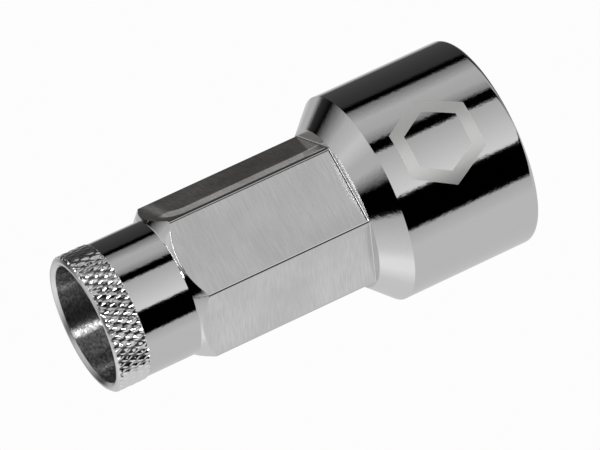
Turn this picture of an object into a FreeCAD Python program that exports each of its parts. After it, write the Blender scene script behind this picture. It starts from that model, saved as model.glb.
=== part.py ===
import FreeCAD, Part
import math
import os

# Lug nut cap: a chromed, open-ended cap that is pushed over the hexagon head
# of a 17 mm wheel bolt and makes it look like a long racing nut.
# Millimetres. The cap stands on the open end of its collar, with its axis on
# Z, its rear face at Z = 0 and its knurled nose up. Two of the hexagon's
# corners point along X, so two of its flats face along Y.

# The bolt head that the cap covers, and the socket that takes it
BOLT_HEAD_AF = 17.0          # across the flats of the bolt's head
SOCKET_CLEARANCE = 0.3       # added across the flats, so the cap pushes on by hand
SOCKET_DEPTH = 14.5          # rear face to the floor that meets the top of the head
SOCKET_RELIEF_LENGTH = 1.6   # round undercut at the floor, where the broach stops
SOCKET_RELIEF_DEPTH = 0.15   # how far the undercut passes the socket's corners
LEAD_IN_DEPTH = 0.6          # how far the mouth's cone opens past the corners
LEAD_IN_ANGLE = 45.0         # of that cone, from the axis

# Rubber ring that grips the corners of the bolt's head, in its own groove
RING_SECTION = 2.0           # width and thickness of the ring's square-cut section
RING_BEVEL = 0.6             # off its inner edges, so that the head slides in
RING_BITE = 0.8              # how far the ring reaches inside the head's corners
RING_CLEARANCE = 0.05        # between the ring and the bottom of its groove
RING_SIDE_PLAY = 0.2         # between the ring and each side of its groove
RING_HEIGHT = 4.6            # of the middle of the ring, from the rear face

# Collar and the sloping shoulder in front of it
COLLAR_WALL = 1.7            # metal left outside the ring's groove
COLLAR_LENGTH = 16.7         # rear face to the start of the shoulder
COLLAR_REAR_BEVEL = 0.45     # off the outer rear edge
COLLAR_FRONT_BEVEL = 0.2     # narrow bevel where the collar turns into the shoulder
SHOULDER_ANGLE = 43.5        # of the shoulder, from the axis

# Outer hexagon for the wheel spanner
HEX_AF = 17.0                # across its flats
HEX_LENGTH = 22.4            # from the end walls of the flats to the neck
CORNER_LAND = 0.05           # turned off each corner of the hexagon
FLAT_END_STEP = 0.14         # how far the shoulder passes the corners at the end walls
FLAT_END_ROUND = 0.4         # left by the cutter where a flat meets its end wall
HEX_NOSE_ANGLE = 45.0        # of the cone that takes the hexagon down to the neck

# Neck, knurled band and open rim
NECK_STEP = 0.25             # neck below the flats, so that a spanner passes over it
NECK_LENGTH = 6.65
NECK_WALL = 1.0              # metal between the neck and the bore
KNURL_RISE = 0.17            # crest of the knurled band above the neck
KNURL_LENGTH = 3.6
KNURL_PITCH = 1.06           # from groove to groove, round the band
KNURL_ANGLE = 29.0           # of each set of grooves, from the axis
KNURL_DEPTH = 0.34           # from crest to root
KNURL_OVERLAP = 1.15         # width of a groove over its pitch, so that the crests are sharp
RIM_BEVEL = 0.5              # outer bevel of the open rim, in front of the knurl
RIM_BORE_BEVEL = 0.25        # inner bevel of the open rim
FLOOR_BORE_BEVEL = 0.3       # bevel where the bore meets the socket's floor

# Spare length of the cutting tools beyond the metal that they cut
OVERCUT = 2.0

# Sizes that follow from the ones above
COS_30 = math.cos(math.radians(30.0))
FLATS = 6
FLAT_STEP_DEG = 360.0 / FLATS
FIRST_FLAT_DEG = FLAT_STEP_DEG / 2.0

socket_flat_r = (BOLT_HEAD_AF + SOCKET_CLEARANCE) / 2.0
socket_corner_r = socket_flat_r / COS_30
relief_r = socket_corner_r + SOCKET_RELIEF_DEPTH
mouth_r = socket_corner_r + LEAD_IN_DEPTH

head_corner_r = BOLT_HEAD_AF / 2.0 / COS_30
ring_inner_r = head_corner_r - RING_BITE
groove_r = ring_inner_r + RING_SECTION + RING_CLEARANCE
groove_width = RING_SECTION + 2.0 * RING_SIDE_PLAY

collar_r = groove_r + COLLAR_WALL
hex_flat_r = HEX_AF / 2.0
hex_corner_r = hex_flat_r / COS_30 - CORNER_LAND
neck_r = hex_flat_r - NECK_STEP
bore_r = neck_r - NECK_WALL
knurl_r = neck_r + KNURL_RISE

bevel_in = math.sin(math.radians(SHOULDER_ANGLE))
bevel_up = math.cos(math.radians(SHOULDER_ANGLE))
shoulder_tan = math.tan(math.radians(SHOULDER_ANGLE))
nose_tan = math.tan(math.radians(HEX_NOSE_ANGLE))
shoulder_end_z = COLLAR_LENGTH + (collar_r - hex_corner_r) / shoulder_tan
flat_end_z = shoulder_end_z - FLAT_END_STEP / shoulder_tan
neck_z = flat_end_z + HEX_LENGTH
nose_z = neck_z - (hex_corner_r - neck_r) / nose_tan
knurl_z = neck_z + NECK_LENGTH
knurl_end_z = knurl_z + KNURL_LENGTH
rim_z = knurl_end_z + RIM_BEVEL
knurl_root_r = knurl_r - KNURL_DEPTH
knurl_starts = round(2.0 * math.pi * knurl_r / KNURL_PITCH)
knurl_pitch = 2.0 * math.pi * knurl_r / knurl_starts
knurl_half_width = knurl_pitch * math.cos(math.radians(KNURL_ANGLE)) * KNURL_OVERLAP / 2.0


def point(radius, height):
    """A point of a turned outline, in the XZ plane."""
    return FreeCAD.Vector(radius, 0.0, height)


def outline_face(corners):
    """Face bounded by straight lines, each corner (radius, height, rounding) with its own arc."""
    count = len(corners)
    starts = []
    ends = []
    arcs = []
    for index, (radius, height, rounding) in enumerate(corners):
        here = point(radius, height)
        if rounding <= 0.0:
            starts.append(here)
            ends.append(here)
            arcs.append(None)
            continue
        before = point(*corners[index - 1][:2]) - here
        after = point(*corners[(index + 1) % count][:2]) - here
        half_angle = before.getAngle(after) / 2.0
        reach = min(rounding / math.tan(half_angle), before.Length * 0.45, after.Length * 0.45)
        arc_radius = reach * math.tan(half_angle)
        before.normalize()
        after.normalize()
        inward = (before + after).normalize()
        middle = here + inward * (arc_radius / math.sin(half_angle) - arc_radius)
        starts.append(here + before * reach)
        ends.append(here + after * reach)
        arcs.append(Part.Arc(starts[-1], middle, ends[-1]).toShape())
    edges = []
    for index in range(count):
        if arcs[index] is not None:
            edges.append(arcs[index])
        following = starts[(index + 1) % count]
        edges.append(Part.LineSegment(ends[index], following).toShape())
    return Part.Face(Part.Wire(edges))


def turned(corners):
    """Solid of revolution about Z from an outline in the XZ plane."""
    return outline_face(corners).revolve(FreeCAD.Vector(0, 0, 0), FreeCAD.Vector(0, 0, 1), 360.0)


def hexagon_prism(flat_radius, low_z, high_z):
    """Six-sided prism on the axis, with two corners along X."""
    corner_radius = flat_radius / COS_30
    corners = []
    for index in range(FLATS + 1):
        angle = math.radians(FLAT_STEP_DEG * index)
        corners.append(FreeCAD.Vector(corner_radius * math.cos(angle), corner_radius * math.sin(angle), low_z))
    return Part.Face(Part.makePolygon(corners)).extrude(FreeCAD.Vector(0, 0, high_z - low_z))


def turned_blank():
    """The bar as it leaves the lathe: collar, shoulder, round stock for the hexagon, neck and rim, bored through."""
    return turned([
        (bore_r, 0.0, 0.0),
        (collar_r - COLLAR_REAR_BEVEL, 0.0, 0.0),
        (collar_r, COLLAR_REAR_BEVEL, 0.0),
        (collar_r, COLLAR_LENGTH - COLLAR_FRONT_BEVEL, 0.0),
        (collar_r - COLLAR_FRONT_BEVEL * bevel_in, COLLAR_LENGTH + COLLAR_FRONT_BEVEL * bevel_up, 0.0),
        (hex_corner_r, shoulder_end_z, 0.0),
        (hex_corner_r, nose_z, 0.0),
        (neck_r, neck_z, 0.0),
        (neck_r, knurl_z, 0.0),
        (knurl_r, knurl_z + KNURL_RISE, 0.0),
        (knurl_r, knurl_end_z, 0.0),
        (knurl_r - RIM_BEVEL, rim_z, 0.0),
        (bore_r + RIM_BORE_BEVEL, rim_z, 0.0),
        (bore_r, rim_z - RIM_BORE_BEVEL, 0.0),
    ])


def flat_cutters():
    """One milling pass for each flat: its inner edge is rounded by the cutter, and it ends in a square wall."""
    outer = collar_r + OVERCUT
    section = outline_face([
        (hex_flat_r, flat_end_z, FLAT_END_ROUND),
        (outer, flat_end_z, 0.0),
        (outer, neck_z, 0.0),
        (hex_flat_r, neck_z, 0.0),
    ])
    section.translate(FreeCAD.Vector(0, -outer, 0))
    cutter = section.extrude(FreeCAD.Vector(0, 2.0 * outer, 0))
    cutters = []
    for index in range(FLATS):
        turned_cutter = cutter.copy()
        angle = FIRST_FLAT_DEG + FLAT_STEP_DEG * index
        turned_cutter.rotate(FreeCAD.Vector(0, 0, 0), FreeCAD.Vector(0, 0, 1), angle)
        cutters.append(turned_cutter)
    return cutters


def socket_tools():
    """What opens the collar's end: broached hexagon, its undercut, the mouth's cone and the ring's groove."""
    hexagon = hexagon_prism(socket_flat_r, -OVERCUT, SOCKET_DEPTH - SOCKET_RELIEF_LENGTH / 2.0)
    relief = turned([
        (0.0, SOCKET_DEPTH - SOCKET_RELIEF_LENGTH, 0.0),
        (relief_r, SOCKET_DEPTH - SOCKET_RELIEF_LENGTH, 0.0),
        (relief_r, SOCKET_DEPTH, 0.0),
        (bore_r + FLOOR_BORE_BEVEL, SOCKET_DEPTH, 0.0),
        (bore_r, SOCKET_DEPTH + FLOOR_BORE_BEVEL, 0.0),
        (0.0, SOCKET_DEPTH + FLOOR_BORE_BEVEL, 0.0),
    ])
    lead_tan = math.tan(math.radians(LEAD_IN_ANGLE))
    mouth = Part.makeCone(
        mouth_r + OVERCUT * lead_tan,
        0.0,
        OVERCUT + mouth_r / lead_tan,
        FreeCAD.Vector(0, 0, -OVERCUT),
        FreeCAD.Vector(0, 0, 1),
    )
    groove = Part.makeCylinder(
        groove_r,
        groove_width,
        FreeCAD.Vector(0, 0, RING_HEIGHT - groove_width / 2.0),
        FreeCAD.Vector(0, 0, 1),
    )
    return [hexagon, relief, mouth, groove]


def knurl_groove(lean):
    """One straight V groove across the band, leaning by this angle from the axis, open to the rim."""
    open_height = KNURL_DEPTH * 2.0
    open_half = knurl_half_width * 2.0
    length = 2.0 * (KNURL_LENGTH + RIM_BEVEL + OVERCUT)
    middle_z = (knurl_z + knurl_end_z) / 2.0
    start_z = middle_z - length / 2.0
    triangle = Part.makePolygon([
        FreeCAD.Vector(knurl_root_r, 0, start_z),
        FreeCAD.Vector(knurl_root_r + open_height, open_half, start_z),
        FreeCAD.Vector(knurl_root_r + open_height, -open_half, start_z),
        FreeCAD.Vector(knurl_root_r, 0, start_z),
    ])
    groove = Part.Face(triangle).extrude(FreeCAD.Vector(0, 0, length))
    groove.rotate(FreeCAD.Vector(0, 0, middle_z), FreeCAD.Vector(1, 0, 0), lean)
    band = Part.makeBox(
        OVERCUT + KNURL_DEPTH,
        4.0 * OVERCUT,
        rim_z + OVERCUT - knurl_z - KNURL_RISE / 2.0,
        FreeCAD.Vector(knurl_root_r - KNURL_DEPTH, -2.0 * OVERCUT, knurl_z + KNURL_RISE / 2.0),
    )
    return groove.common(band)


def knurl_grooves():
    """Both crossing sets of grooves, all the way round the band."""
    grooves = []
    for lean in (KNURL_ANGLE, -KNURL_ANGLE):
        groove = knurl_groove(lean)
        for index in range(knurl_starts):
            turned_groove = groove.copy()
            angle = 360.0 * index / knurl_starts
            turned_groove.rotate(FreeCAD.Vector(0, 0, 0), FreeCAD.Vector(0, 0, 1), angle)
            grooves.append(turned_groove)
    return grooves


def cap_body():
    """The one metal piece: turned, milled, broached and knurled, then plated."""
    return turned_blank().cut(flat_cutters() + socket_tools()).cut(knurl_grooves())


def grip_ring():
    """Rubber ring with a square-cut section and bevelled inner edges, lying in the socket's groove."""
    outer = ring_inner_r + RING_SECTION
    low = RING_HEIGHT - RING_SECTION / 2.0
    high = RING_HEIGHT + RING_SECTION / 2.0
    return turned([
        (outer, low, 0.0),
        (outer, high, 0.0),
        (ring_inner_r + RING_BEVEL, high, 0.0),
        (ring_inner_r, high - RING_BEVEL, 0.0),
        (ring_inner_r, low + RING_BEVEL, 0.0),
        (ring_inner_r + RING_BEVEL, low, 0.0),
    ])


def single_solid(shape):
    """The one solid that a cut leaves, without its compound."""
    return shape.Solids[0]


os.makedirs("parts", exist_ok=True)
single_solid(cap_body()).exportStep("parts/cap_body.step")
single_solid(grip_ring()).exportStep("parts/grip_ring.step")
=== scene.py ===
import math

import bmesh
import bpy
from mathutils import Matrix, Vector, noise


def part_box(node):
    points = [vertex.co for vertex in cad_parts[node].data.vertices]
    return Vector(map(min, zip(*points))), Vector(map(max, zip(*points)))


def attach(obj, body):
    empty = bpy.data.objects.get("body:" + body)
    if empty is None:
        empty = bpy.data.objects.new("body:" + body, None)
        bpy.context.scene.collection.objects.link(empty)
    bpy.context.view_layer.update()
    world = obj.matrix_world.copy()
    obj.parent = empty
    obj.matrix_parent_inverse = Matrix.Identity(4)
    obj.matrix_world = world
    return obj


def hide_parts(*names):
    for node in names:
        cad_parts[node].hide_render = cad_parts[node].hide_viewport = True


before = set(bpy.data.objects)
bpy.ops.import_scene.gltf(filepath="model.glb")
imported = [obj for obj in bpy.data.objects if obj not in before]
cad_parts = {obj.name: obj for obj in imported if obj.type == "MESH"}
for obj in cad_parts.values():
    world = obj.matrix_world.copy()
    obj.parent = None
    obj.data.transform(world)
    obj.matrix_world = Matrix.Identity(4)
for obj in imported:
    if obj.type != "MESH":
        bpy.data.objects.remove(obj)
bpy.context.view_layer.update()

# Turned blank
# The cap starts as a bar on the lathe: collar, shoulder, round stock for the
# hexagon, neck, knurled band and open rim, bored right through. Its outline is
# spun about the axis, with the edges rounded as polishing leaves them.
MM = 0.001
ORIGIN = Vector((0.0, 0.0, 0.0))
Z_AXIS = Vector((0.0, 0.0, 1.0))
collar_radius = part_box("cap_body")[1].x
rim_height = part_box("cap_body")[1].z
COLLAR_LENGTH = 16.7 * MM
COLLAR_REAR_ROUND = 0.6 * MM
HEX_FLAT_RADIUS = 8.5 * MM
HEX_CORNER_RADIUS = 9.765 * MM
WALL_RADIUS = 9.905 * MM
FLAT_END_HEIGHT = 19.714 * MM
CORNER_START_HEIGHT = FLAT_END_HEIGHT + 0.1475 * MM
NOSE_HEIGHT = 40.599 * MM
NOSE_ROUND = 0.08 * MM
NECK_HEIGHT = 42.114 * MM
NECK_RADIUS = 8.25 * MM
NECK_ROUND = 0.07 * MM
KNURL_HEIGHT = 48.764 * MM
KNURL_RISE = 0.17 * MM
KNURL_RADIUS = NECK_RADIUS + KNURL_RISE
RIM_BEVEL = 0.5 * MM
RIM_OUTER_ROUND = 0.08 * MM
RIM_INNER_ROUND = 0.05 * MM
KNURL_END = rim_height - RIM_BEVEL
BORE_RADIUS = 7.25 * MM
BORE_BEVEL = 0.4 * MM
KNURL_STARTS = 50
KNURL_ANGLE = math.radians(29.0)
KNURL_CELL_STEPS = 8
SPIN_STEPS = KNURL_STARTS * KNURL_CELL_STEPS
ROUND_STEPS = 5
knurl_pitch = math.tau * KNURL_RADIUS / KNURL_STARTS
diamond_length = knurl_pitch / math.tan(KNURL_ANGLE)
knurl_middle = (KNURL_HEIGHT + KNURL_END) / 2.0
row_step = diamond_length / KNURL_CELL_STEPS
row_count = int((KNURL_END - knurl_middle) / row_step)
knurl_rows = [knurl_middle + row_step * index for index in range(-row_count, row_count + 1)]


def turned_piece(name, outline):
    """Spin an outline of (radius, height, rounding) about the axis, each corner rounded by its own amount."""
    bm = bmesh.new()
    corners = [bm.verts.new((radius, 0.0, height)) for radius, height, rounding in outline]
    for corner, following in zip(corners, corners[1:] + corners[:1]):
        bm.edges.new((corner, following))
    for corner, (radius, height, rounding) in zip(corners, outline):
        if rounding > 0.0:
            bmesh.ops.bevel(
                bm,
                geom=[corner],
                offset=rounding,
                offset_type="OFFSET",
                segments=ROUND_STEPS,
                profile=0.5,
                affect="VERTICES",
                material=-1,
            )
    bmesh.ops.spin(
        bm,
        geom=bm.verts[:] + bm.edges[:],
        cent=ORIGIN,
        axis=Z_AXIS,
        angle=math.tau,
        steps=SPIN_STEPS,
        use_merge=True,
    )
    bmesh.ops.recalc_face_normals(bm, faces=bm.faces)
    mesh = bpy.data.meshes.new(name)
    bm.to_mesh(mesh)
    bm.free()
    piece = bpy.data.objects.new(name, mesh)
    bpy.context.scene.collection.objects.link(piece)
    return piece


plated_cap = turned_piece("plated_cap", [
    (BORE_RADIUS, 0.0, 0.0),
    (collar_radius, 0.0, COLLAR_REAR_ROUND),
    (collar_radius, COLLAR_LENGTH, 0.0),
    (WALL_RADIUS, FLAT_END_HEIGHT, 0.0),
    (HEX_CORNER_RADIUS, CORNER_START_HEIGHT, 0.0),
    (HEX_CORNER_RADIUS, NECK_HEIGHT - (HEX_CORNER_RADIUS - NECK_RADIUS), NOSE_ROUND),
    (NECK_RADIUS, NECK_HEIGHT, NECK_ROUND),
    (NECK_RADIUS, KNURL_HEIGHT, 0.0),
    (KNURL_RADIUS, KNURL_HEIGHT + KNURL_RISE, 0.0),
    *[(KNURL_RADIUS, height, 0.0) for height in knurl_rows if height > KNURL_HEIGHT + KNURL_RISE],
    (KNURL_RADIUS, KNURL_END, 0.0),
    (KNURL_RADIUS - RIM_BEVEL / 2.0, (KNURL_END + rim_height) / 2.0, 0.0),
    (KNURL_RADIUS - RIM_BEVEL, rim_height, RIM_OUTER_ROUND),
    (BORE_RADIUS + BORE_BEVEL, rim_height, RIM_INNER_ROUND),
    (BORE_RADIUS, rim_height - BORE_BEVEL, 0.0),
])

# Knurl
# Two crossing sets of grooves, rolled into the raised band by a pair of
# knurling wheels. The wheels bit deepest on two sides and a little unevenly,
# and left small diamonds with softened ridges.
KNURL_DEPTH = 0.3 * MM
KNURL_SQUARENESS = 3.0
KNURL_DEEP_SIDE = math.radians(-109.0)
KNURL_LIGHT_SHARE = 0.25
KNURL_LIGHT_SWING = -0.85
KNURL_DEEP_SWING = 0.1
KNURL_UNEVENNESS = 0.45
KNURL_WANDER = 0.09
PATCH_SCALE = 700.0
SPECK = 0.001 * MM
PLATE_SLOT, MILLED_SLOT, BORED_SLOT, KNURLED_SLOT = range(4)


def knurl_bite(position):
    """Share of the full depth to which the wheels bit here."""
    swing = math.cos(2.0 * (math.atan2(position.y, position.x) - KNURL_DEEP_SIDE))
    share = (swing - KNURL_LIGHT_SWING) / (KNURL_DEEP_SWING - KNURL_LIGHT_SWING)
    share = min(max(share, 0.0), 1.0)
    eased = share * share * (3.0 - 2.0 * share)
    uneven = 1.0 + KNURL_UNEVENNESS * noise.noise(position * PATCH_SCALE)
    return (KNURL_LIGHT_SHARE + (1.0 - KNURL_LIGHT_SHARE) * eased) * min(uneven, 1.0)


def knurl_depth(position):
    """Depth of the rolled surface below the band's full radius, at a place on the band."""
    wander = KNURL_WANDER * noise.noise(position.yzx * PATCH_SCALE)
    turn_share = math.atan2(position.y, position.x) / math.tau * KNURL_STARTS + wander
    climb = (position.z - knurl_middle) / diamond_length
    from_crests = [
        1.0 - 2.0 * abs(across_grooves - round(across_grooves))
        for across_grooves in (turn_share + climb, turn_share - climb)
    ]
    from_peak = sum(share ** KNURL_SQUARENESS for share in from_crests) ** (1.0 / KNURL_SQUARENESS)
    return KNURL_DEPTH * knurl_bite(position) * min(from_peak, 1.0)


bm = bmesh.new()
bm.from_mesh(plated_cap.data)
band = [
    face for face in bm.faces
    if all(
        vert.co.z > KNURL_HEIGHT - SPECK and vert.co.to_2d().length > KNURL_RADIUS - RIM_BEVEL
        for vert in face.verts
    )
]
diamonds = bmesh.ops.poke(bm, faces=band)["faces"]
for face in diamonds:
    face.material_index = KNURLED_SLOT
for vert in bm.verts:
    radius = vert.co.to_2d().length
    if vert.co.z > KNURL_HEIGHT + SPECK and radius > KNURL_RADIUS - RIM_BEVEL - SPECK:
        pressed = KNURL_RADIUS - knurl_depth(vert.co)
        if pressed < radius:
            vert.co.xy *= pressed / radius
bm.to_mesh(plated_cap.data)
bm.free()

# Plating
# Decorative chrome over nickel, polished bright on everything that was turned.
# The buffing wheel leaves it very slightly wavy.
PLATE_TONE = 0.66
PLATE_ROUGHNESS = 0.05


def grey(tone):
    """Colour of this brightness, without a tint."""
    return (tone, tone, tone, 1.0)


def new_metal(name, tone, roughness):
    """Bare or plated metal: the material, its node tree and its shader."""
    metal = bpy.data.materials.new(name)
    metal.use_nodes = True
    shader = metal.node_tree.nodes["Principled BSDF"]
    shader.inputs["Metallic"].default_value = 1.0
    shader.inputs["Base Color"].default_value = grey(tone)
    shader.inputs["Roughness"].default_value = roughness
    return metal, metal.node_tree, shader


def add_noise(tree, vector, scale, detail):
    """Noise over the surface, read at this vector."""
    node = tree.nodes.new("ShaderNodeTexNoise")
    node.inputs["Scale"].default_value = scale
    node.inputs["Detail"].default_value = detail
    tree.links.new(vector, node.inputs["Vector"])
    return node


def add_bump(tree, shader, height, strength, distance):
    """Unevenness that the shader shows without a change of shape."""
    node = tree.nodes.new("ShaderNodeBump")
    node.inputs["Strength"].default_value = strength
    node.inputs["Distance"].default_value = distance
    tree.links.new(height, node.inputs["Height"])
    tree.links.new(node.outputs["Normal"], shader.inputs["Normal"])
    return node


plate, plate_tree, plate_shader = new_metal("polished_chrome", PLATE_TONE, PLATE_ROUGHNESS)
plate_place = plate_tree.nodes.new("ShaderNodeTexCoord").outputs["Object"]
plate_waves = add_noise(plate_tree, plate_place, scale=1700.0, detail=4.0)
plate_waves.inputs["Roughness"].default_value = 0.6
add_bump(plate_tree, plate_shader, plate_waves.outputs["Fac"], strength=0.5, distance=0.016 * MM)

# A plain hexagon outline is etched matt into the collar's side. The distance of
# each place from the outline's middle is worked out on the unrolled collar.
ETCH_ANGLE = math.radians(-92.5)
ETCH_HEIGHT = 9.25 * MM
ETCH_REACH = 4.9 * MM
ETCH_WIDTH = 1.5 * MM
ETCH_SLANT = math.radians(30.0)
ETCH_ROUGHNESS = 0.42
ETCH_COLOUR = (0.74, 0.74, 0.73, 1.0)


def add_math(tree, operation, first, second=0.0):
    """One sum in a node tree, of two sockets or numbers."""
    node = tree.nodes.new("ShaderNodeMath")
    node.operation = operation
    for socket, value in zip(node.inputs, (first, second)):
        if isinstance(value, float):
            socket.default_value = value
        else:
            tree.links.new(value, socket)
    return node.outputs[0]


def add_blend(tree, share, first, second):
    """Colour that goes from the first to the second as the share goes from 0 to 1."""
    # The node has its colours at inputs 6 and 7 and at output 2
    node = tree.nodes.new("ShaderNodeMix")
    node.data_type = "RGBA"
    tree.links.new(share, node.inputs["Factor"])
    for socket, colour in zip(node.inputs[6:8], (first, second)):
        if isinstance(colour, tuple):
            socket.default_value = colour
        else:
            tree.links.new(colour, socket)
    return node.outputs[2]


plate_parts = plate_tree.nodes.new("ShaderNodeSeparateXYZ")
plate_tree.links.new(plate_place, plate_parts.inputs["Vector"])
turned_by = add_math(plate_tree, "ARCTAN2", plate_parts.outputs["Y"], plate_parts.outputs["X"])
turned_past = add_math(plate_tree, "SUBTRACT", turned_by, ETCH_ANGLE)
round_way = add_math(plate_tree, "ABSOLUTE", add_math(plate_tree, "MULTIPLY", turned_past, collar_radius))
climbed_past = add_math(plate_tree, "SUBTRACT", plate_parts.outputs["Z"], ETCH_HEIGHT)
long_way = add_math(plate_tree, "ABSOLUTE", climbed_past)
slanted = add_math(
    plate_tree,
    "ADD",
    add_math(plate_tree, "MULTIPLY", round_way, math.cos(ETCH_SLANT)),
    add_math(plate_tree, "MULTIPLY", long_way, math.sin(ETCH_SLANT)),
)
from_middle = add_math(plate_tree, "MAXIMUM", slanted, long_way)
past_line = add_math(plate_tree, "SUBTRACT", from_middle, ETCH_REACH - ETCH_WIDTH / 2.0)
from_line = add_math(plate_tree, "ABSOLUTE", past_line)
etched = add_math(plate_tree, "LESS_THAN", from_line, ETCH_WIDTH / 2.0)
etch_roughness = plate_tree.nodes.new("ShaderNodeMapRange")
etch_roughness.inputs["To Min"].default_value = PLATE_ROUGHNESS
etch_roughness.inputs["To Max"].default_value = ETCH_ROUGHNESS
plate_tree.links.new(etched, etch_roughness.inputs["Value"])
plate_tree.links.new(etch_roughness.outputs["Result"], plate_shader.inputs["Roughness"])
etch_tone = add_blend(plate_tree, etched, grey(PLATE_TONE), ETCH_COLOUR)
plate_tree.links.new(etch_tone, plate_shader.inputs["Base Color"])

# The flats and the rim keep the cutter's fine lines under the plating. They run
# across the cap, with a slow change of tone over them.
MILL_LINES = (520.0, 520.0, 9500.0)


def add_stretch(tree, vector, scale):
    """The vector with each axis scaled by its own amount, for a pattern that is drawn out."""
    node = tree.nodes.new("ShaderNodeMapping")
    node.inputs["Scale"].default_value = scale
    tree.links.new(vector, node.inputs["Vector"])
    return node.outputs["Vector"]


def add_tones(tree, shader, share, dark, light):
    """Greys of the shader between a dark and a light stop, each (share, tone)."""
    node = tree.nodes.new("ShaderNodeValToRGB")
    for element, (position, tone) in zip(node.color_ramp.elements, (dark, light)):
        element.position = position
        element.color = grey(tone)
    tree.links.new(share, node.inputs["Fac"])
    tree.links.new(node.outputs["Color"], shader.inputs["Base Color"])


milled, milled_tree, milled_shader = new_metal("milled_chrome", PLATE_TONE, 0.27)
milled_place = milled_tree.nodes.new("ShaderNodeTexCoord").outputs["Object"]
milled_stretch = add_stretch(milled_tree, milled_place, MILL_LINES)
milled_lines = add_noise(milled_tree, milled_stretch, scale=1.0, detail=3.0).outputs["Fac"]
milled_clouds = add_noise(milled_tree, milled_place, scale=160.0, detail=2.0).outputs["Fac"]
milled_share = add_math(milled_tree, "MULTIPLY", milled_clouds, milled_lines)
add_tones(milled_tree, milled_shader, milled_share, dark=(0.12, 0.64), light=(0.42, 0.78))
add_bump(milled_tree, milled_shader, milled_lines, strength=0.16, distance=0.03 * MM)

# The bore's wall was plated but not polished. It is blotchy and finely pitted, and its colour is darker than
# the plate's, as painted shade for the dim inside of the bore. The tool's marks round it draw each reflection
# out along the axis.
BORE_BLOTCHES = (2600.0, 2600.0, 3600.0)
bored, bored_tree, bored_shader = new_metal("bored_chrome", PLATE_TONE, 0.25)
bored_shader.inputs["Anisotropic"].default_value = 1.0
bored_shader.inputs["Anisotropic Rotation"].default_value = 0.25
bored_place = bored_tree.nodes.new("ShaderNodeTexCoord").outputs["Object"]
bored_tangent = bored_tree.nodes.new("ShaderNodeVectorMath")
bored_tangent.operation = "CROSS_PRODUCT"
bored_tangent.inputs[0].default_value = Z_AXIS
bored_tree.links.new(bored_place, bored_tangent.inputs[1])
bored_tree.links.new(bored_tangent.outputs["Vector"], bored_shader.inputs["Tangent"])
bored_stretch = add_stretch(bored_tree, bored_place, BORE_BLOTCHES)
bored_blotches = add_noise(bored_tree, bored_stretch, scale=1.0, detail=4.0).outputs["Fac"]
# The blotches run from dark up to the plate's tone, so the bore is darker than the plate on the whole:
# painted shade, with random blotches
add_tones(bored_tree, bored_shader, bored_blotches, dark=(0.35, 0.22), light=(0.68, 0.66))
add_bump(bored_tree, bored_shader, bored_blotches, strength=1.0, distance=0.018 * MM)

# The knurl's colour is bright on its ridges and goes dark in the roots of its grooves. The dark roots are
# painted shade, standing in for the shade down in the grooves.
ROOT_SHADE_SHARE = 0.72
ROOT_PAINTED_SHADE = 0.1
RIDGE_TONE = 0.8
ACROSS_AXIS = (1.0, 1.0, 0.0)
knurled, knurled_tree, knurled_shader = new_metal("knurled_chrome", RIDGE_TONE, 0.13)
knurled_place = knurled_tree.nodes.new("ShaderNodeTexCoord").outputs["Object"]
knurled_level = knurled_tree.nodes.new("ShaderNodeVectorMath")
knurled_level.operation = "MULTIPLY"
knurled_level.inputs[1].default_value = ACROSS_AXIS
knurled_radius = knurled_tree.nodes.new("ShaderNodeVectorMath")
knurled_radius.operation = "LENGTH"
# Painted shade: the colour darkens with depth towards the roots of the grooves
knurled_shade_share = knurled_tree.nodes.new("ShaderNodeMapRange")
knurled_shade_share.inputs["From Min"].default_value = KNURL_RADIUS - KNURL_DEPTH
knurled_shade_share.inputs["From Max"].default_value = KNURL_RADIUS - KNURL_DEPTH * ROOT_SHADE_SHARE
knurled_tree.links.new(knurled_place, knurled_level.inputs[0])
knurled_tree.links.new(knurled_level.outputs["Vector"], knurled_radius.inputs[0])
knurled_tree.links.new(knurled_radius.outputs["Value"], knurled_shade_share.inputs["Value"])
knurled_painted_shade = add_blend(knurled_tree, knurled_shade_share.outputs["Result"], grey(ROOT_PAINTED_SHADE), grey(RIDGE_TONE))
knurled_tree.links.new(knurled_painted_shade, knurled_shader.inputs["Base Color"])
knurled_grain = add_noise(knurled_tree, knurled_place, scale=2200.0, detail=2.0).outputs["Fac"]
add_bump(knurled_tree, knurled_shader, knurled_grain, strength=1.0, distance=0.04 * MM)

for finish in (plate, milled, bored, knurled):
    plated_cap.data.materials.append(finish)
for face in plated_cap.data.polygons:
    if face.center.to_2d().length < BORE_RADIUS + SPECK:
        face.material_index = BORED_SLOT
    elif face.center.z > KNURL_END + RIM_BEVEL / 2.0:
        face.material_index = MILLED_SLOT

# Milled flats
# Six passes of a milling cutter make the hexagon. Each ends in a square wall
# in front of the shoulder, with the cutter's small radius buffed in the corner.
# Polishing has rounded the edges between the flats, some more than others.
FLATS = 6
FLAT_TURN = 360.0 / FLATS
CUTTER_RADIUS = 0.14 * MM
CUTTER_OUTER = 16.0 * MM
CUTTER_STEPS = 6
# Width and facing of the strip that carries the painted dark reflection beside the front flat's corner
DARK_LINE_WIDTH = 0.13 * MM
DARK_LINE_FACING = 270.0
SQUARE_COSINE = 0.999
EDGE_FACET = 0.5 * MM
DEGREES_A_STEP = 6.0
# Arcs of (degrees, radius in millimetres) that round each edge in turn
SOFT_EDGE = ((60.0, 0.55),)
CRISP_EDGE = ((60.0, 0.42),)
WORN_EDGE = ((12.0, 0.7), (24.0, 0.42), (24.0, 0.9))
HEXAGON_EDGES = (SOFT_EDGE, SOFT_EDGE, SOFT_EDGE, SOFT_EDGE, CRISP_EDGE, WORN_EDGE)


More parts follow.
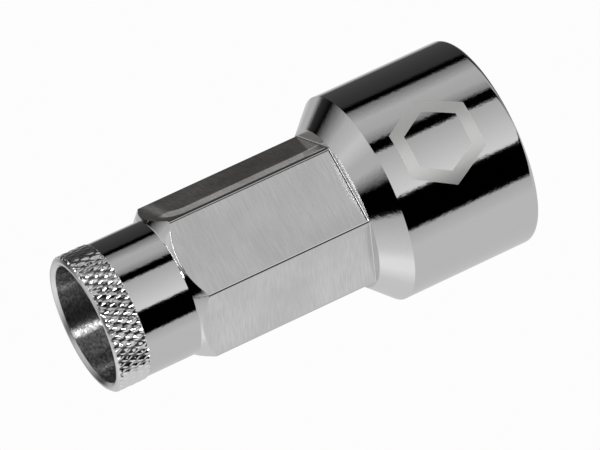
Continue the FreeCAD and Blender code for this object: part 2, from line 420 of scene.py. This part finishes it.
def take_result(piece, modifier):
    """Keep what the modifier makes of the piece as its own mesh."""
    depsgraph = bpy.context.evaluated_depsgraph_get()
    result = bpy.data.meshes.new_from_object(piece.evaluated_get(depsgraph), depsgraph=depsgraph)
    piece.modifiers.remove(modifier)
    spare = piece.data
    piece.data = result
    bpy.data.meshes.remove(spare)


def cut_away(piece, cutter):
    """Take the cutter's volume out of the piece, and then remove the cutter."""
    cut = piece.modifiers.new("cut", "BOOLEAN")
    cut.operation = "DIFFERENCE"
    cut.solver = "EXACT"
    cut.object = cutter
    cut.material_mode = "TRANSFER"
    take_result(piece, cut)
    bpy.data.objects.remove(cutter)


def heading(degrees):
    """Direction across the axis at this angle."""
    return Vector((math.cos(math.radians(degrees)), math.sin(math.radians(degrees))))


def hexagon_line(grow, height):
    """Points round the hexagon, its edges rounded by arcs, grown outwards by this much, at this height."""
    points = []
    for index, arcs in enumerate(HEXAGON_EDGES):
        first_angle = FLAT_TURN * (index - 0.5)
        first_normal = heading(first_angle)
        last_normal = heading(first_angle + FLAT_TURN)
        angle = first_angle
        shift = Vector((0.0, 0.0))
        centres = []
        for (sweep, radius), following in zip(arcs, arcs[1:] + arcs[-1:]):
            centres.append(shift.copy())
            shift += heading(angle + sweep) * (radius - following[1]) * MM
            angle += sweep
        near = HEX_FLAT_RADIUS - arcs[0][1] * MM
        far = HEX_FLAT_RADIUS - arcs[-1][1] * MM - centres[-1].dot(last_normal)
        along_first = Vector((-first_normal.y, first_normal.x))
        slide = (far - near * first_normal.dot(last_normal)) / along_first.dot(last_normal)
        start = first_normal * near + along_first * slide
        angle = first_angle
        for order, ((sweep, radius), centre) in enumerate(zip(arcs, centres)):
            steps = round(sweep / DEGREES_A_STEP)
            for step in range(min(order, 1), steps + 1):
                spot = start + centre + heading(angle + sweep * step / steps) * (radius * MM + grow)
                points.append((spot.x, spot.y, height))
            angle += sweep
    return points


# The buffed corner is duller than the plate. Beside it the front flat has a painted dark line: a dark
# reflection in the corner, painted into the colour.
buffed = new_metal("buffed_chrome", tone=0.62, roughness=0.25)[0]
painted_dark_line = new_metal("painted_dark_line_chrome", tone=0.03, roughness=0.4)[0]
mill_finishes = (milled, plate, buffed, painted_dark_line)
mill_lines = [(CUTTER_OUTER - HEX_FLAT_RADIUS, FLAT_END_HEIGHT)]
for step in range(CUTTER_STEPS + 1):
    swing = math.radians(90.0 * step / CUTTER_STEPS)
    mill_lines.append((
        CUTTER_RADIUS * (1.0 - math.sin(swing)),
        FLAT_END_HEIGHT + CUTTER_RADIUS * (1.0 - math.cos(swing)),
    ))
# The strip for the painted dark line on the front flat
mill_lines.append((0.0, FLAT_END_HEIGHT + CUTTER_RADIUS + DARK_LINE_WIDTH))
mill_lines.append((0.0, NECK_HEIGHT))
mill_lines.append((CUTTER_OUTER - HEX_FLAT_RADIUS, NECK_HEIGHT))
bm = bmesh.new()
rings = [[bm.verts.new(point) for point in hexagon_line(grow, height)] for grow, height in mill_lines]
for row, (ring, following) in enumerate(zip(rings, rings[1:] + rings[:1])):
    for index in range(len(ring)):
        after = (index + 1) % len(ring)
        face = bm.faces.new((ring[index], ring[after], following[after], following[index]))
        facing = (ring[index].co + ring[after].co).to_2d().normalized()
        if row <= CUTTER_STEPS:
            finish = buffed
        # The strip next to the buffed corner on the front flat gets the painted dark reflection
        elif row == CUTTER_STEPS + 1 and facing.dot(heading(DARK_LINE_FACING)) > SQUARE_COSINE:
            finish = painted_dark_line
        elif (ring[index].co - ring[after].co).length < EDGE_FACET:
            finish = plate
        else:
            finish = milled
        face.material_index = mill_finishes.index(finish)
bmesh.ops.recalc_face_normals(bm, faces=bm.faces)
mesh = bpy.data.meshes.new("flat_mill")
bm.to_mesh(mesh)
bm.free()
for finish in mill_finishes:
    mesh.materials.append(finish)
mill = bpy.data.objects.new("flat_mill", mesh)
bpy.context.scene.collection.objects.link(mill)
cut_away(plated_cap, mill)

# Polishing has also broken the edges where the flats run out on the cone in front,
# each over the part that the wheel ran off.
BROKEN_FROM = 22.0
BROKEN_TO = 54.0
BROKEN_WIDTH = 0.09 * MM
MERGE_DISTANCE = 0.006 * MM
EXACT_COSINE = 0.9999
flat_headings = [heading(FLAT_TURN * (index + 0.5)) for index in range(FLATS)]


def on_broken_part(vert):
    """Whether the place lies on the stretch of its sixth of a turn that the wheel ran off."""
    return BROKEN_FROM < math.degrees(math.atan2(vert.co.y, vert.co.x)) % FLAT_TURN < BROKEN_TO


bm = bmesh.new()
bm.from_mesh(plated_cap.data)
bmesh.ops.remove_doubles(
    bm,
    verts=[vert for vert in bm.verts if NOSE_HEIGHT - SPECK < vert.co.z < NECK_HEIGHT - SPECK],
    dist=MERGE_DISTANCE,
)
nose_edges = [
    edge for edge in bm.edges
    if len(edge.link_faces) == 2
    and {face.material_index for face in edge.link_faces} == {PLATE_SLOT, MILLED_SLOT}
    and NOSE_HEIGHT - SPECK < min(vert.co.z for vert in edge.verts)
    and max(vert.co.z for vert in edge.verts) < NECK_HEIGHT
    and edge.verts[0].co.to_2d().length > HEX_FLAT_RADIUS - SPECK
    and any(
        face.normal.to_2d().dot(flat_heading) > EXACT_COSINE
        for face in edge.link_faces
        for flat_heading in flat_headings
    )
    and on_broken_part(edge.verts[0])
]
bmesh.ops.bevel(
    bm,
    geom=nose_edges,
    offset=BROKEN_WIDTH,
    offset_type="OFFSET",
    segments=2,
    profile=0.5,
    affect="EDGES",
    clamp_overlap=False,
    material=PLATE_SLOT,
)
bm.to_mesh(plated_cap.data)
bm.free()

# The flat between the last two edges was polished a little hollow: a soft step
# runs inside its front edge and turns round its nose end. The step is a bump in
# the finish, because the hollow is too shallow to show as a shape.
HOLLOW_FACING = 330.0
HOLLOW_START = -1.2 * MM
HOLLOW_END = NECK_HEIGHT - 4.4 * MM
HOLLOW_CORNER = 2.2 * MM
STEP_INSIDE = 1.4 * MM
STEP_OUTSIDE = 1.2 * MM
STEP_HEIGHT = 0.38 * MM
HOLLOW_DARK = (0.4, 0.38, 0.365, 1.0)
HOLLOW_LIGHT = (1.0, 0.96, 0.92, 1.0)
hollow = milled.copy()
hollow.name = "hollow_chrome"
hollow_tree = hollow.node_tree
hollow_shader = hollow_tree.nodes["Principled BSDF"]
hollow_shader.inputs["Roughness"].default_value = 0.13
for element, colour in zip(hollow_tree.nodes["Color Ramp"].color_ramp.elements, (HOLLOW_DARK, HOLLOW_LIGHT)):
    element.color = colour
hollow_turn = hollow_tree.nodes.new("ShaderNodeVectorRotate")
hollow_turn.rotation_type = "Z_AXIS"
hollow_turn.inputs["Angle"].default_value = -math.radians(HOLLOW_FACING)
hollow_parts = hollow_tree.nodes.new("ShaderNodeSeparateXYZ")
hollow_tree.links.new(hollow_tree.nodes["Texture Coordinate"].outputs["Object"], hollow_turn.inputs["Vector"])
hollow_tree.links.new(hollow_turn.outputs["Vector"], hollow_parts.inputs["Vector"])
past_side = add_math(hollow_tree, "SUBTRACT", HOLLOW_START, hollow_parts.outputs["Y"])
past_end = add_math(hollow_tree, "SUBTRACT", hollow_parts.outputs["Z"], HOLLOW_END)
beside = add_math(hollow_tree, "MAXIMUM", past_side, 0.0)
beyond = add_math(hollow_tree, "MAXIMUM", past_end, 0.0)
away_squared = add_math(
    hollow_tree,
    "ADD",
    add_math(hollow_tree, "MULTIPLY", beside, beside),
    add_math(hollow_tree, "MULTIPLY", beyond, beyond),
)
hollow_step = hollow_tree.nodes.new("ShaderNodeMapRange")
hollow_step.interpolation_type = "SMOOTHSTEP"
hollow_step.inputs["From Min"].default_value = HOLLOW_CORNER - STEP_INSIDE
hollow_step.inputs["From Max"].default_value = HOLLOW_CORNER + STEP_OUTSIDE
hollow_tree.links.new(add_math(hollow_tree, "SQRT", away_squared), hollow_step.inputs["Value"])
line_bump = hollow_tree.nodes["Bump"]
step_bump = add_bump(
    hollow_tree,
    hollow_shader,
    hollow_step.outputs["Result"],
    strength=1.0,
    distance=STEP_HEIGHT,
)
hollow_tree.links.new(line_bump.outputs["Normal"], step_bump.inputs["Normal"])
plated_cap.data.materials.append(hollow)
hollow_slot = len(plated_cap.data.materials) - 1
for face in plated_cap.data.polygons:
    on_flat = face.center.to_2d().dot(heading(HOLLOW_FACING)) > HEX_FLAT_RADIUS - SPECK
    level = face.normal.to_2d().dot(heading(HOLLOW_FACING)) > SQUARE_COSINE
    if on_flat and level and FLAT_END_HEIGHT < face.center.z < NECK_HEIGHT:
        face.material_index = hollow_slot

# Socket
# The broached hexagon that takes the bolt's head, with its round undercut at
# the floor, the mouth's cone and the groove of the rubber ring.
SOCKET_DEPTH = 14.5 * MM
SOCKET_FLAT_RADIUS = 8.65 * MM
SOCKET_CORNER_RADIUS = SOCKET_FLAT_RADIUS / math.cos(math.radians(FLAT_TURN / 2.0))
RELIEF_LENGTH = 1.6 * MM
RELIEF_RADIUS = SOCKET_CORNER_RADIUS + 0.15 * MM
FLOOR_BEVEL = 0.3 * MM
MOUTH_RADIUS = SOCKET_CORNER_RADIUS + 0.6 * MM
GROOVE_RADIUS = 11.065 * MM
GROOVE_LOW = 3.4 * MM
GROOVE_HIGH = 5.8 * MM
BELOW = -1.0 * MM
SHARP_ANGLE = math.radians(28.0)
FACE_AREA_WEIGHT = 100
broach_end = SOCKET_DEPTH - RELIEF_LENGTH / 2.0
bm = bmesh.new()
bmesh.ops.create_cone(
    bm,
    cap_ends=True,
    segments=FLATS,
    radius1=SOCKET_CORNER_RADIUS,
    radius2=SOCKET_CORNER_RADIUS,
    depth=broach_end - BELOW,
)
bmesh.ops.translate(bm, vec=(0.0, 0.0, (broach_end + BELOW) / 2.0), verts=bm.verts)
mesh = bpy.data.meshes.new("socket_broach")
bm.to_mesh(mesh)
bm.free()
mesh.materials.append(plate)
broach = bpy.data.objects.new("socket_broach", mesh)
bpy.context.scene.collection.objects.link(broach)
cut_away(plated_cap, broach)
for name, outline in (
    ("relief", [
        (BORE_RADIUS - FLOOR_BEVEL, SOCKET_DEPTH - RELIEF_LENGTH, 0.0),
        (RELIEF_RADIUS, SOCKET_DEPTH - RELIEF_LENGTH, 0.0),
        (RELIEF_RADIUS, SOCKET_DEPTH, 0.0),
        (BORE_RADIUS + FLOOR_BEVEL, SOCKET_DEPTH, 0.0),
        (BORE_RADIUS - FLOOR_BEVEL, SOCKET_DEPTH + 2.0 * FLOOR_BEVEL, 0.0),
    ]),
    ("mouth", [
        (BORE_RADIUS, MOUTH_RADIUS - BORE_RADIUS, 0.0),
        (BORE_RADIUS, BELOW, 0.0),
        (MOUTH_RADIUS - BELOW, BELOW, 0.0),
    ]),
    ("groove", [
        (BORE_RADIUS, GROOVE_LOW, 0.0),
        (GROOVE_RADIUS, GROOVE_LOW, 0.0),
        (GROOVE_RADIUS, GROOVE_HIGH, 0.0),
        (BORE_RADIUS, GROOVE_HIGH, 0.0),
    ]),
):
    tool = turned_piece(name, outline)
    tool.data.materials.append(plate)
    cut_away(plated_cap, tool)

plated_cap.data.shade_smooth()
plated_cap.data.set_sharp_from_angle(angle=SHARP_ANGLE)
evened = plated_cap.modifiers.new("evened", "WEIGHTED_NORMAL")
evened.mode = "FACE_AREA"
evened.weight = FACE_AREA_WEIGHT
evened.keep_sharp = True
take_result(plated_cap, evened)
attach(plated_cap, "root")
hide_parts("cap_body")

# Rubber ring
# A moulded ring of matt black rubber with a square-cut section. It lies loose in
# the socket's groove and grips the corners of the bolt's head.
RUBBER_COLOUR = (0.02, 0.02, 0.021, 1.0)
rubber = bpy.data.materials.new("black_rubber")
rubber.use_nodes = True
rubber_shader = rubber.node_tree.nodes["Principled BSDF"]
rubber_shader.inputs["Base Color"].default_value = RUBBER_COLOUR
rubber_shader.inputs["Roughness"].default_value = 0.6
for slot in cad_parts["grip_ring"].material_slots:
    slot.material = rubber

# Studio light
# Two rings of light and dark panels stand round the object, one upright and one
# overhead, and the light blends from each panel to the next. Two lamps add the
# sharp bright lines in the chrome, and a black card stands low behind them.
VIEW_TURN = math.radians(-192.53)
OVERHEAD_FROM = -0.2
OVERHEAD_TO = 0.1
PAPER_TONE = 0.98
# Panels of (start, end, brightness at start, brightness at end), with the first two
# in degrees. Their places and brightness were estimated from the light and dark
# bands that the chrome shows in the photograph.
UPRIGHT_PANELS = (
    (-180.0, -177.0, 0.3, 0.25),
    (-175.0, -168.0, 0.0, 0.0),
    (-164.0, -117.0, 0.04, 0.08),
    (-105.0, 15.0, 0.65, 0.7),
    (34.0, 35.0, 0.55, 0.3),
    (36.0, 73.0, 0.0, 0.0),
    (75.0, 124.0, 0.9, 0.55),
    (125.5, 137.0, 0.0, 0.0),
    (139.0, 150.0, 0.3, 0.55),
    (166.0, 180.0, 0.6, 0.3),
)
OVERHEAD_PANELS = (
    (-180.0, -165.0, 0.7, 0.6),
    (-141.0, -127.0, 0.0, 0.04),
    (-120.0, -45.0, 0.55, 0.8),
    (-30.0, -20.0, 1.05, 1.05),
    (-8.0, 33.0, 0.8, 0.55),
    (40.0, 94.0, 0.0, 0.0),
    (130.0, 150.0, 0.6, 0.6),
    (172.0, 180.0, 0.8, 0.7),
)
world = bpy.data.worlds.new("studio")
bpy.context.scene.world = world
world.use_nodes = True
tree = world.node_tree
tree.nodes.clear()
coordinates = tree.nodes.new("ShaderNodeTexCoord")
turn = tree.nodes.new("ShaderNodeMapping")
turn.inputs["Rotation"].default_value = (0.0, 0.0, -VIEW_TURN)
tree.links.new(coordinates.outputs["Generated"], turn.inputs["Vector"])
dial = tree.nodes.new("ShaderNodeTexGradient")
dial.gradient_type = "RADIAL"
tree.links.new(turn.outputs["Vector"], dial.inputs["Vector"])


def light_ring(panels):
    """Brightness of one ring of panels, all the way round."""
    ramp = tree.nodes.new("ShaderNodeValToRGB")
    elements = ramp.color_ramp.elements
    while len(elements) > 1:
        elements.remove(elements[-1])
    stops = [stop for start, end, first, last in panels for stop in ((start, first), (end, last))]
    for index, (angle, brightness) in enumerate(stops):
        share = (angle + 180.0) / 360.0
        element = elements[0] if index == 0 else elements.new(share)
        element.position = share
        element.color = grey(brightness)
    tree.links.new(dial.outputs["Fac"], ramp.inputs["Fac"])
    return ramp.outputs["Color"]


split = tree.nodes.new("ShaderNodeSeparateXYZ")
tree.links.new(turn.outputs["Vector"], split.inputs["Vector"])
rise = tree.nodes.new("ShaderNodeMapRange")
rise.interpolation_type = "SMOOTHSTEP"
rise.inputs["From Min"].default_value = OVERHEAD_FROM
rise.inputs["From Max"].default_value = OVERHEAD_TO
tree.links.new(split.outputs["Z"], rise.inputs["Value"])
upright_light = light_ring(UPRIGHT_PANELS)
overhead_light = light_ring(OVERHEAD_PANELS)
both_rings = add_blend(tree, rise.outputs["Result"], upright_light, overhead_light)
studio = tree.nodes.new("ShaderNodeBackground")
tree.links.new(both_rings, studio.inputs["Color"])
paper = tree.nodes.new("ShaderNodeBackground")
paper.inputs["Color"].default_value = grey(PAPER_TONE)
path = tree.nodes.new("ShaderNodeLightPath")
chooser = tree.nodes.new("ShaderNodeMixShader")
tree.links.new(path.outputs["Is Camera Ray"], chooser.inputs["Fac"])
tree.links.new(studio.outputs[0], chooser.inputs[1])
tree.links.new(paper.outputs[0], chooser.inputs[2])
world_out = tree.nodes.new("ShaderNodeOutputWorld")
tree.links.new(chooser.outputs[0], world_out.inputs["Surface"])
bpy.context.scene.view_settings.view_transform = "Standard"

for name, turn_degrees, lift_degrees, distance, half_width, half_height, strength in (
    ("strip_lamp", 98.0, 30.0, 0.6, 0.042, 0.15, 38.0),
    ("bar_lamp", 134.0, 34.0, 0.6, 0.19, 0.025, 9.0),
    ("black_card", 118.0, 19.0, 0.75, 0.6, 0.18, 0.0),
):
    lamp_mesh = bpy.data.meshes.new(name)
    bm = bmesh.new()
    bmesh.ops.create_grid(bm, x_segments=1, y_segments=1, size=1.0)
    bmesh.ops.scale(bm, vec=(half_width, half_height, 1.0), verts=bm.verts)
    lamp_turn = VIEW_TURN + math.radians(turn_degrees)
    lamp_lift = math.radians(lift_degrees)
    outwards = Vector((
        math.cos(lamp_turn) * math.cos(lamp_lift),
        math.sin(lamp_turn) * math.cos(lamp_lift),
        math.sin(lamp_lift),
    ))
    bmesh.ops.transform(bm, matrix=(-outwards).to_track_quat("Z", "Y").to_matrix(), verts=bm.verts)
    bmesh.ops.translate(bm, vec=outwards * distance, verts=bm.verts)
    bm.to_mesh(lamp_mesh)
    bm.free()
    lamp = bpy.data.objects.new(name, lamp_mesh)
    bpy.context.scene.collection.objects.link(lamp)
    lamp_glow = bpy.data.materials.new(name)
    lamp_glow.use_nodes = True
    lamp_glow.node_tree.nodes.clear()
    glow = lamp_glow.node_tree.nodes.new("ShaderNodeEmission")
    glow.inputs["Strength"].default_value = strength
    out = lamp_glow.node_tree.nodes.new("ShaderNodeOutputMaterial")
    lamp_glow.node_tree.links.new(glow.outputs[0], out.inputs["Surface"])
    lamp_mesh.materials.append(lamp_glow)
    lamp.visible_camera = False

# Camera
# A long lens looks a little down on the cap, rolled so that the knurled end
# points to the lower left of the picture, as in the photograph.
PIVOT = Vector((0.0, 0.0, 28.0 * MM))
DISTANCE = 0.6832
ELEVATION = math.radians(17.31)
ROLL = math.radians(24.92)
SENSOR_WIDTH = 36.0
NEAREST = 0.01
PICTURE_WIDTH = 600.0
PICTURE_HEIGHT = 450.0
PIVOT_FROM_LEFT = 273.34
PIVOT_FROM_TOP = 237.77
PIXELS_PER_METRE = 8733.0
shift_right = (PICTURE_WIDTH / 2.0 - PIVOT_FROM_LEFT) / PIXELS_PER_METRE
shift_up = (PIVOT_FROM_TOP - PICTURE_HEIGHT / 2.0) / PIXELS_PER_METRE
towards_eye = VIEW_TURN + math.radians(90.0)
back = Vector((
    math.cos(towards_eye) * math.cos(ELEVATION),
    math.sin(towards_eye) * math.cos(ELEVATION),
    math.sin(ELEVATION),
))
across = Vector((math.sin(towards_eye), -math.cos(towards_eye), 0.0))
rearward = back.cross(across)
right = rearward * math.cos(ROLL) + across * math.sin(ROLL)
up = rearward * math.sin(ROLL) - across * math.cos(ROLL)
eye = PIVOT + back * DISTANCE
target = PIVOT + right * shift_right + up * shift_up
backwards = (eye - target).normalized()
sideways = (right - backwards * right.dot(backwards)).normalized()
upwards = backwards.cross(sideways)
lens = bpy.data.cameras.new("studio_camera")
lens.sensor_width = SENSOR_WIDTH
lens.lens = PIXELS_PER_METRE * DISTANCE * SENSOR_WIDTH / PICTURE_WIDTH
lens.clip_start = NEAREST
camera = bpy.data.objects.new("studio_camera", lens)
bpy.context.scene.collection.objects.link(camera)
camera.matrix_world = Matrix.Translation(eye) @ Matrix((sideways, upwards, backwards)).transposed().to_4x4()
bpy.context.scene.camera = camera
